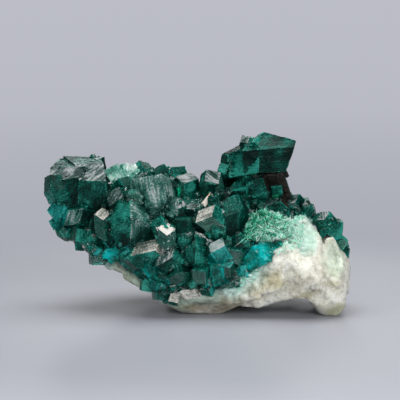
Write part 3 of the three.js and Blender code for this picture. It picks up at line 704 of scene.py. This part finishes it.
def surfaced(tree, shader, colour, height, strength, distance):
    """Gives a shader its colour and a bump."""
    tree.links.new(colour, shader.inputs["Base Color"])
    bump = add_node(tree, "ShaderNodeBump", Strength=strength, Distance=distance)
    tree.links.new(height, bump.inputs["Height"])
    tree.links.new(bump.outputs["Normal"], shader.inputs["Normal"])


def blended(tree, kind, factor, first, second):
    """Two colours mixed or multiplied, as far as the factor says."""
    node = add_node(tree, "ShaderNodeMixRGB", blend_type=kind)
    feed(tree, node, factor, first, second)
    return node.outputs["Color"]


def scaled(tree, source, low, high, to_low, to_high):
    """A value with one range stretched onto another."""
    node = add_node(tree, "ShaderNodeMapRange")
    feed(tree, node, source, low, high, to_low, to_high)
    return node.outputs["Result"]


def computed(tree, operation, *sources):
    """A value worked out from others."""
    node = add_node(tree, "ShaderNodeMath", operation=operation)
    feed(tree, node, *sources)
    return node.outputs["Value"]


def total(tree, *sources):
    """The sum of several values."""
    whole = sources[0]
    for source in sources[1:]:
        whole = computed(tree, "ADD", whole, source)
    return whole


def striated(tree, spacing):
    """Fine striations that run along each facet, a little pitting, and both as a height."""
    uv = add_node(tree, "ShaderNodeUVMap", uv_map="along_striations").outputs["UV"]
    stretch = add_node(tree, "ShaderNodeMapping")
    stretch.inputs["Scale"].default_value = (0.1 / spacing, 1 / spacing, 1)
    tree.links.new(uv, stretch.inputs["Vector"])
    lines = speckle(tree, stretch.outputs["Vector"], 1.0, 4.0, 0.6)
    pits = speckle(tree, uv, 2.6, 4.0, 0.65)
    return lines, pits, computed(tree, "MULTIPLY_ADD", pits, 0.5, lines)


def crystal_material(
    name, tones, transmission=0.2, roughness=0.14, density=800, absorbed=(0.0, 0.87, 0.78),
    relief=1.0, shine=0.1, stripes=0.12, spacing=0.31, clouds=0.3,
):
    """Dioptase: coloured glass with striated faces. The tones go from dark to light."""
    made, tree, shader = material(
        name, IOR=1.66, Transmission_Weight=transmission, Specular_IOR_Level=shine
    )
    lines, pits, height = striated(tree, spacing)
    cloudy = speckle(tree, place_in(tree), 300.0, 2.0, 0.5)
    # painted highlight: bright glints on the points along the facets' edges
    painted_edge_glints = scaled(tree, pits, 0.48, 0.66, 0, 0.65)
    mixed = total(
        tree,
        attribute(tree, "tone"),
        scaled(tree, pits, 0.3, 0.7, -0.35, 0.4),
        scaled(tree, lines, 0.35, 0.65, -stripes, stripes),
        # painted shade: points that other crystals stand over are darker
        scaled(tree, attribute(tree, "open"), 0.3, 0.95, -0.6, 0.06),
        scaled(tree, cloudy, 0.35, 0.65, -clouds, clouds),
        computed(tree, "MULTIPLY", attribute(tree, "edge"), painted_edge_glints),
    )
    stops = [(i / (len(tones) - 1), colour) for i, colour in enumerate(tones)]
    surfaced(tree, shader, ramp(tree, mixed, *stops), height, relief, 0.00012)
    rough = scaled(tree, mixed, 0, 1, roughness * 2, roughness * 0.6)
    tree.links.new(rough, shader.inputs["Roughness"])
    absorb = tree.nodes.new("ShaderNodeVolumeAbsorption")
    absorb.inputs["Color"].default_value = (*absorbed, 1)
    absorb.inputs["Density"].default_value = density
    tree.links.new(absorb.outputs["Volume"], tree.nodes["Material Output"].inputs["Volume"])
    return made


def build_crystals():
    rng = random.Random(20)
    kinds = [crystal_kind(rng) for _ in range(DRUSE_KINDS)]
    looks = [crystal_material(name, tones, **rest) for name, tones, rest in LOOKS]
    near = []
    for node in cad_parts:
        if node.startswith("chrysocolla") or node == "calcite_matrix":
            reach = SEAM_REACH if node.startswith("chrysocolla") else ROCK_REACH
            near.append((reach, tree_of(node)))

    def finish_of(place, normal, chance):
        """The finish and the tone of the facet with this middle and normal."""
        for middle, half, finish, tone in FINISH_BOXES:
            if all(abs(place[i] - middle[i]) < half[i] for i in range(3)):
                return finish, tone + chance.uniform(-0.1, 0.1)
        tone = TONE_MEAN + TONE_SWING * noise.noise(place * TONE_WAVE)
        tone += chance.uniform(-TONE_SPREAD, TONE_SPREAD)
        # painted shade and painted glow by place, partly the crystals' own tone
        for middle, reach, change in SHADES:
            tone += change * max(0, 1 - ((place - Vector(middle)).length / reach) ** 3)
        tone = min(1, max(0, tone))
        for reach, tree in near:
            hit = tree.find_nearest(place, reach)
            if hit[0] is not None and chance.random() < STAINED_SHARE:
                return STAINED, tone
        # painted highlight: faces that look towards the light above get silvery painted glints
        if normal.dot(PAINTED_GLINT_WAY) > PAINTED_GLINT_SPREAD and chance.random() < PAINTED_GLINT_SHARE:
            return PAINTED_GLINT, tone
        least, rise = CLEAR_SHARE
        return (CLEAR if chance.random() < least + rise * tone else MATTE), tone

    for node, count in CRYSTAL_NODES.items():
        bm = welded(node)
        batches = grow_druse(bm, count, rng, kinds)
        piece = fused(node.replace("dioptase", "crystals"), bm, batches)
        bm.free()
        refine(piece, rng, finish_of)
        for look in looks:
            piece.data.materials.append(look)
        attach(piece, BODY)
        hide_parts(node)


def remeshed(node, voxel):
    """A CAD node as a finely and evenly divided mesh in mm."""
    bm = welded(node)
    mesh = bpy.data.meshes.new(node)
    bm.to_mesh(mesh)
    bm.free()
    piece = new_object(node + "_fine", mesh)
    remesh = piece.modifiers.new("remesh", "REMESH")
    remesh.mode = "VOXEL"
    remesh.voxel_size = voxel
    fine = evaluated(piece)
    bpy.data.objects.remove(piece)
    return fine


def spots_and_normals(mesh):
    count = len(mesh.vertices)
    spots = np.empty(count * 3)
    mesh.vertices.foreach_get("co", spots)
    normals = np.empty(count * 3)
    mesh.vertices.foreach_get("normal", normals)
    return spots.reshape(-1, 3), normals.reshape(-1, 3)


def place(mesh, spots):
    mesh.vertices.foreach_set("co", np.asarray(spots, dtype=np.float32).ravel())
    mesh.update()


def cleaved(spots, normals, rng, spacing, depth):
    """Moves each point onto the plane of the nearest seed, so that the surface breaks in steps."""
    grid = rng.permutation(len(spots))
    seeds = []
    for index in grid[:SEED_TRIES]:
        spot = spots[index]
        if all(np.abs(spot - spots[s]).sum() > spacing for s in seeds[-SEEDS_COMPARED:]):
            seeds.append(index)
    seeds = np.array(seeds)
    planes = rng.normal(size=(CLEAVAGE_PLANES, 3))
    planes /= np.linalg.norm(planes, axis=1)[:, None]
    planes = np.concatenate([planes, -planes])
    moved = spots.copy()
    for start in range(0, len(spots), POINTS_AT_ONCE):
        part = slice(start, start + POINTS_AT_ONCE)
        gap = np.linalg.norm(spots[part][:, None] - spots[seeds][None], axis=2)
        owner = seeds[gap.argmin(axis=1)]
        facing = (normals[owner] @ planes.T).argmax(axis=1)
        face = 0.55 * planes[facing] + 0.75 * normals[owner]
        face /= np.linalg.norm(face, axis=1)[:, None]
        slope = np.maximum((face * normals[part]).sum(axis=1), 0.4)
        shift = (face * (spots[owner] - spots[part])).sum(axis=1) / slope
        moved[part] += np.clip(shift, -depth, depth)[:, None] * normals[part]
    return moved


def near_surface(node, spots, reach):
    """How near each point is to a CAD node: 1 on it, 0 at the reach or farther."""
    tree = tree_of(node)
    amount = []
    for spot in spots:
        hit = tree.find_nearest(Vector(spot), reach)
        amount.append(0.0 if hit[0] is None else 1 - hit[3] / reach)
    return np.array(amount)


def build_calcite():
    rng = np.random.default_rng(4)
    mesh = remeshed("calcite_matrix", ROCK_VOXEL)
    spots, normals = spots_and_normals(mesh)
    broken = spots
    for spacing, depth in ROCK_CLEAVAGE:
        broken = cleaved(broken, normals, rng, spacing, depth)
    rough = np.array([noise.fractal(Vector(s * ROCK_WAVE), 0.8, 2.1, 4) for s in spots])
    broken += ROCK_ROUGHNESS * rough[:, None] * normals
    foot = np.clip(spots[:, 2:] / FOOT_HEIGHT, FOOT_SHARE, 1)
    spots = spots + foot * (broken - spots)
    arch = np.clip(1 - ((spots[:, 0] - ARCH_MIDDLE) / ARCH_HALF_WIDTH) ** 2, 0, 1)
    spots[:, 2] += ARCH_RISE * arch * np.clip(1 - spots[:, 2] / ARCH_TOP, 0, 1)
    spots[:, 2] = np.maximum(spots[:, 2], ROCK_GROUND)
    place(mesh, spots * MM)
    for polygon in mesh.polygons:
        polygon.use_smooth = True
    piece = new_object("calcite_rock", mesh)
    amount = near_surface("dioptase_main_crust", spots, STAIN_REACH)
    store(mesh, "near_crust", amount)
    tint = np.ones((len(spots), 4))
    for (x, z), (wide, high), colour in CALCITE_PATCHES:
        for index, spot in enumerate(spots):
            ragged = PATCH_RAGGED * noise.noise(Vector(spot * PATCH_WAVE))
            far = math.hypot((spot[0] - x) / wide, (spot[2] - z) / high) + ragged
            if far < PATCH_REACH and normals[index][1] < FRONT_FACING:
                share = min(1, (PATCH_REACH - far) / PATCH_BORDER)
                tint[index, :3] *= 1 + share * (np.array(colour) - 1)
    patches = mesh.attributes.new("tint", "FLOAT_COLOR", "POINT")
    patches.data.foreach_set("color", tint.astype(np.float32).ravel())
    mesh.materials.append(calcite_material())
    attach(piece, BODY)
    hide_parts("calcite_matrix")
    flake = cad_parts["calcite_flake"]
    flake.data.materials.clear()
    flake.data.materials.append(flake_material())
    build_fringe(spots, amount)


def calcite_material():
    """Mottled and veined calcite, stained pale green near the crust."""
    made, tree, shader = material(
        "calcite", Roughness=0.4, IOR=1.55, Subsurface_Weight=0.8,
        Subsurface_Radius=(1, 0.94, 0.8), Subsurface_Scale=0.0022, Specular_IOR_Level=0.4,
    )
    where = place_in(tree)
    near = attribute(tree, "near_crust")
    cream = ramp(
        tree, speckle(tree, where, 170.0, 5.0, 0.62),
        (0.28, (0.6, 0.57, 0.46)), (0.42, (0.72, 0.71, 0.62)),
        (0.56, (0.79, 0.79, 0.73)), (0.7, (0.72, 0.71, 0.62)),
    )
    fade = ramp(tree, near, (0.25, (0, 0, 0)), (0.9, (0.85, 0.85, 0.85)))
    veins = ramp(
        tree, speckle(tree, where, 330.0, 6.0, 0.65, Distortion=2.0),
        (0.3, (0.8, 0.79, 0.72)), (0.46, (1, 1, 1)), (0.5, (0.6, 0.58, 0.5)), (0.53, (1, 1, 1)),
        (0.7, (0.86, 0.86, 0.8)),
    )
    fine = speckle(tree, where, 900.0, 5.0, 0.65)
    grains = ramp(
        tree, fine, (0.36, (0.5, 0.51, 0.48)), (0.5, (1, 1, 1)), (0.62, (1.15, 1.15, 1.15))
    )
    colour = blended(tree, "MIX", fade, cream, (0.5, 0.74, 0.69, 1))
    colour = blended(tree, "MULTIPLY", 0.75, colour, veins)
    colour = blended(tree, "MULTIPLY", 1, colour, attribute(tree, "tint", "Color"))
    grainy = scaled(tree, near, 0.1, 0.7, 0.5, 1)
    colour = blended(tree, "MULTIPLY", grainy, colour, grains)
    surfaced(tree, shader, colour, fine, 0.45, 0.0002)
    return made


def flake_material():
    """The little cream flake in the crust, with a rusty stain."""
    made, tree, shader = material("calcite_cream", Roughness=0.4, IOR=1.55, Specular_IOR_Level=0.4)
    mottled = speckle(tree, place_in(tree), 900.0, 4.0, 0.6)
    cream = ramp(
        tree, mottled, (0.4, (0.75, 0.5, 0.3)), (0.5, (0.85, 0.78, 0.66)), (0.6, (0.95, 0.93, 0.86))
    )
    surfaced(tree, shader, cream, mottled, 0.4, 0.0001)
    return made


def build_fringe(spots, amount):
    """Short pale needles on the calcite round the tuft and along the crust, at the right."""
    rng = random.Random(15)
    _, normals = spots_and_normals(bpy.data.objects["calcite_rock"].data)
    by_tuft = near_surface("needle_tuft", spots, FRINGE_REACH)
    rooted = [
        i for i in range(len(spots))
        if (by_tuft[i] > NEAR_TUFT or amount[i] > NEAR_CRUST)
        and spots[i][0] > FRINGE_LEFT and normals[i][1] < FRONT_FACING
    ]
    corners = []
    triangles = []
    shades = []
    for _ in range(FRINGE_NEEDLES):
        i = rng.choice(rooted)
        root = Vector(spots[i])
        way = random_direction(rng, Vector(normals[i]), 1.0)
        tip = root + way * rng.uniform(*FRINGE_LENGTH)
        radius = NEEDLE_RADIUS * rng.uniform(*FRINGE_RADIUS)
        add_needle(corners, triangles, root - way * 0.1, tip, radius)
        shade = FRINGE_SHADE + rng.gauss(0, FRINGE_SHADE_SPREAD)
        shades.extend([min(1, max(FRINGE_DARKEST, shade))] * NEEDLE_CORNERS)
    finish_needles("fringe_needles", corners, triangles, shades)


def needle_material():
    made, tree, shader = material("needle_green", Roughness=0.3, IOR=1.6, Specular_IOR_Level=0.2)
    colour = ramp(
        tree, attribute(tree, "tone"),
        (0.0, (0.0, 0.09, 0.05)), (0.3, (0.01, 0.42, 0.24)),
        (0.6, (0.22, 0.86, 0.62)), (1.0, (0.86, 1.0, 0.95)),
    )
    tree.links.new(colour, shader.inputs["Base Color"])
    return made


def finish_needles(name, corners, triangles, shades):
    mesh = mesh_of(name, np.array(corners) * MM, triangles)
    store(mesh, "tone", shades)
    mesh.materials.append(bpy.data.materials.get("needle_green") or needle_material())
    piece = new_object(name, mesh)
    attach(piece, BODY)
    return piece


def build_tuft():
    rng = random.Random(8)
    bm = welded("needle_tuft")
    hull = BVHTree.FromBMesh(bm)
    faces = [f for f in bm.faces if f.normal.y < FRONT_FACING]
    areas = [f.calc_area() for f in faces]
    corners = []
    triangles = []
    shades = []

    def needle(start, tip, shade, radius):
        """A needle that is darker at its root and lighter at its tip."""
        add_needle(corners, triangles, start, tip, radius)
        middle, end = min(1, shade + 0.1), min(1, shade + 0.3)
        shades.extend([max(0, shade - 0.3)] * 3 + [middle] * 3 + [end])

    for _ in range(SPRAYS):
        face = rng.choices(faces, areas)[0]
        a, b, c = (v.co for v in bmesh_triangle(face, rng))
        s, t = sorted((rng.random(), rng.random()))
        foot = a * s + b * (t - s) + c * (1 - t)
        root = foot - face.normal * rng.uniform(*SPRAY_DEPTH)
        lean = random_direction(rng, face.normal, SPRAY_LEAN)
        shade = SHADE_LEFT + SHADE_RISE * (foot.x - TUFT_LEFT) / TUFT_WIDTH
        shade += rng.gauss(0, SHADE_SPREAD[0])
        for _ in range(NEEDLES_PER_SPRAY):
            way = random_direction(rng, lean, NEEDLE_STRAY)
            start = root + random_direction(rng, way, 3) * rng.uniform(0, ROOT_SPREAD)
            hit = hull.ray_cast(start, way)
            reach = min(hit[3], NEEDLE_REACH) if hit[0] is not None else BLIND_REACH
            tip = start + way * reach * rng.uniform(*TIP_SPREAD)
            radius = NEEDLE_RADIUS * rng.uniform(*RADIUS_SPREAD)
            needle(start, tip, min(1, max(0, shade + rng.gauss(0, SHADE_SPREAD[1]))), radius)
    bm.free()
    for start, tip in LONG_FIBRES:
        needle(Vector(start), Vector(tip), FIBRE_SHADE, FIBRE_RADIUS)
    add_tuft_core(corners, triangles, shades)
    piece = finish_needles("needles", corners, triangles, shades)
    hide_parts("needle_tuft")


def add_tuft_core(corners, triangles, shades):
    """A dark core under the tuft's needle tips: painted shade in the gaps between the needles."""
    core = remeshed("needle_tuft", TUFT_SHADE_CORE_VOXEL)
    spots, normals = spots_and_normals(core)
    waves = np.array([noise.noise(Vector(spot * 0.9)) for spot in spots])
    spots -= normals * (TUFT_SHADE_CORE_DEPTH + 0.5 * waves[:, None])
    first = len(corners)
    corners.extend(spots)
    shades.extend(np.clip(0.1 + 0.2 * waves, 0, 1))
    triangles.extend(tuple(first + i for i in polygon.vertices) for polygon in core.polygons)


def bmesh_triangle(face, rng):
    """The corners of a random triangle of a face's fan."""
    verts = list(face.verts)
    k = rng.randrange(1, len(verts) - 1)
    return verts[0], verts[k], verts[k + 1]


def add_needle(corners, triangles, start, tip, radius):
    """A three-sided needle that narrows to a point."""
    way = (tip - start).normalized()
    side = way.orthogonal().normalized()
    other = way.cross(side)
    first = len(corners)
    for where, size in ((start, 1.0), (start.lerp(tip, 0.7), 0.8)):
        for k in range(3):
            angle = math.tau * k / 3
            around = side * math.cos(angle) + other * math.sin(angle)
            corners.append(where + around * radius * size)
    corners.append(tip)
    for k in range(3):
        a, b = first + k, first + (k + 1) % 3
        triangles.append((a, b, b + 3))
        triangles.append((a, b + 3, a + 3))
        triangles.append((a + 3, b + 3, first + 6))
    triangles.append((first, first + 2, first + 1))


def chrysocolla_material():
    made, tree, shader = material(
        "chrysocolla", Roughness=0.16, IOR=1.5, Subsurface_Weight=0.2, Subsurface_Scale=0.0005,
        Transmission_Weight=0.2, Specular_IOR_Level=0.2,
    )
    patches = speckle(tree, place_in(tree), 360.0, 5.0, 0.6)
    colour = ramp(
        tree, patches,
        (0.34, (0.0, 0.045, 0.034)), (0.46, (0.0, 0.15, 0.115)),
        (0.57, (0.0, 0.36, 0.32)), (0.7, (0.0, 0.68, 0.7)),
    )
    surfaced(tree, shader, colour, patches, 0.4, 0.0001)
    return made


def build_chrysocolla():
    made = chrysocolla_material()
    for number, node in enumerate(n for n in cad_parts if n.startswith("chrysocolla")):
        mesh = remeshed(node, SEAM_VOXEL)
        spots, normals = spots_and_normals(mesh)
        rng = np.random.default_rng(30 + number)
        broken = spots
        for spacing, depth in SEAM_CLEAVAGE:
            broken = cleaved(broken, normals, rng, spacing, depth)
        lumps = np.array([noise.noise(Vector(s * SEAM_WAVE)) for s in spots])
        place(mesh, (broken + SEAM_LUMPS * lumps[:, None] * normals) * MM)
        mesh.materials.append(made)
        piece = new_object(node.replace("chrysocolla_seam", "chrysocolla_skin"), mesh)
        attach(piece, BODY)
        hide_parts(node)


def ring_mesh(name, line, sides=96):
    """A surface of revolution about Z from a line of (radius, height)."""
    corners = []
    faces = []
    for side in range(sides):
        angle = math.tau * side / sides
        across, deep = math.cos(angle), math.sin(angle)
        corners.extend((radius * across, radius * deep, height) for radius, height in line)
    count = len(line)
    for side in range(sides):
        here, there = side * count, (side + 1) % sides * count
        faces.extend((here + i, there + i, there + i + 1, here + i + 1) for i in range(count - 1))
    mesh = mesh_of(name, corners, faces)
    for polygon in mesh.polygons:
        polygon.use_smooth = True
    return mesh


def build_stage():
    """A pale table that runs on without an edge into a backdrop all round, which glows nearly
    evenly; the glow is brighter far out and in front, as painted light.
    """
    made, tree, shader = material(
        "studio", Base_Color=(*TABLE_COLOUR, 1), Roughness=0.4, Specular_IOR_Level=0.25,
    )
    where = place_in(tree)
    split = add_node(tree, "ShaderNodeSeparateXYZ")
    tree.links.new(where, split.inputs["Vector"])
    far = add_node(tree, "ShaderNodeVectorMath", operation="LENGTH")
    tree.links.new(where, far.inputs[0])
    away = scaled(tree, far.outputs["Value"], TABLE_RADIUS, BACKDROP_RADIUS, 0, 1)
    glow = ramp(tree, away, (0, BACKDROP_NEAR), (1, BACKDROP_FAR))
    # painted light: the glow is brighter in front
    lift = scaled(tree, split.outputs["Y"], LIFT_FROM, LIFT_TO, 1, FRONT_LIFT)
    lit = add_node(tree, "ShaderNodeEmission")
    tree.links.new(glow, lit.inputs["Color"])
    tree.links.new(lift, lit.inputs["Strength"])
    blend = add_node(tree, "ShaderNodeMixShader")
    outer = scaled(tree, far.outputs["Value"], TABLE_LIT_RADIUS, TABLE_RADIUS, 0, 1)
    tree.links.new(outer, blend.inputs["Fac"])
    tree.links.new(shader.outputs["BSDF"], blend.inputs[1])
    tree.links.new(lit.outputs["Emission"], blend.inputs[2])
    tree.links.new(blend.outputs["Shader"], tree.nodes["Material Output"].inputs["Surface"])
    line = [(0.0005, 0), (TABLE_RADIUS / 2, 0), (TABLE_RADIUS, 0)]
    table = new_object("table", ring_mesh("table", line))
    bend = BACKDROP_BEND
    line = [(TABLE_RADIUS, 0.0), (BACKDROP_RADIUS - bend, 0.0)]
    for step in range(1, BEND_STEPS + 1):
        angle = math.pi / 2 * step / BEND_STEPS
        out, up = bend * math.sin(angle), bend * (1 - math.cos(angle))
        line.append((BACKDROP_RADIUS - bend + out, up))
    line.append((BACKDROP_RADIUS, BACKDROP_HEIGHT))
    backdrop = new_object("backdrop", ring_mesh("backdrop", line))
    backdrop.visible_glossy = False
    backdrop.visible_diffuse = False
    for piece in (table, backdrop):
        piece.data.materials.append(made)


def add_light(name, place, size, power):
    lamp = bpy.data.lights.new(name, "AREA")
    lamp.shape = "RECTANGLE"
    lamp.size, lamp.size_y = size
    lamp.energy = power
    holder = bpy.data.objects.new(name, lamp)
    holder.location = place
    holder.rotation_euler = (Vector(LIGHT_AIM) - Vector(place)).to_track_quat("-Z", "Y").to_euler()
    holder.visible_camera = False
    bpy.context.scene.collection.objects.link(holder)


def build_light_and_camera():
    scene = bpy.context.scene
    scene.view_settings.view_transform = "Standard"
    world = bpy.data.worlds.new("studio")
    world.use_nodes = True
    glow = world.node_tree.nodes["Background"]
    glow.inputs["Color"].default_value = (*WORLD_COLOUR, 1)
    glow.inputs["Strength"].default_value = WORLD_STRENGTH
    scene.world = world
    for light in LIGHTS:
        add_light(*light)
    camera = bpy.data.objects.new("camera", bpy.data.cameras.new("camera"))
    scene.collection.objects.link(camera)
    scene.camera = camera
    camera.data.lens = CAMERA_LENS
    camera.data.clip_start = 0.01
    back = Vector((0, -math.cos(CAMERA_ELEVATION), math.sin(CAMERA_ELEVATION)))
    camera.location = Vector(CAMERA_AIM) + back * CAMERA_DISTANCE
    camera.rotation_euler = (-back).to_track_quat("-Z", "Y").to_euler()


build_light_and_camera()
build_stage()
build_crystals()
build_calcite()
build_tuft()
build_chrysocolla()
